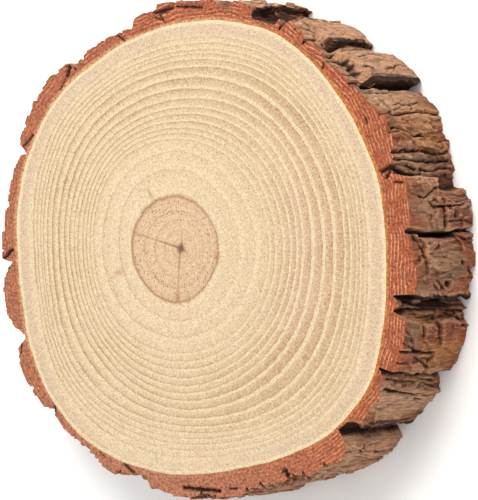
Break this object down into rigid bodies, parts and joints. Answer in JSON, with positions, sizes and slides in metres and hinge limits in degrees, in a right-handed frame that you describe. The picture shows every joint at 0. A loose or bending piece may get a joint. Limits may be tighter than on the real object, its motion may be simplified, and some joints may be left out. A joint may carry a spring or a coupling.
{
  "type": "wood slice with bark",
  "caption": "Thick round slice sawn across a softwood log, flat on both sawn faces, with growth rings, heartwood and a rough plated rim of bark.",
  "frame": {"origin": "centre of the whole slice's box at its base, on the sawn face that it lies on", "axes": "+Z out of the upper sawn face, along the log; +X to the side with the thickest bark; +Y to the side that is at the top of the picture"},
  "size_m": [0.2436, 0.2396, 0.051],
  "materials": {
    "sawn_wood": "sawn end grain, lightly sanded, matte, unsealed",
    "bark": "rough natural bark in plates and furrows, matte"
  },
  "bodies": {
    "root": {"wood": "sawn_wood", "bark": "bark"}
  },
  "joints": []
}
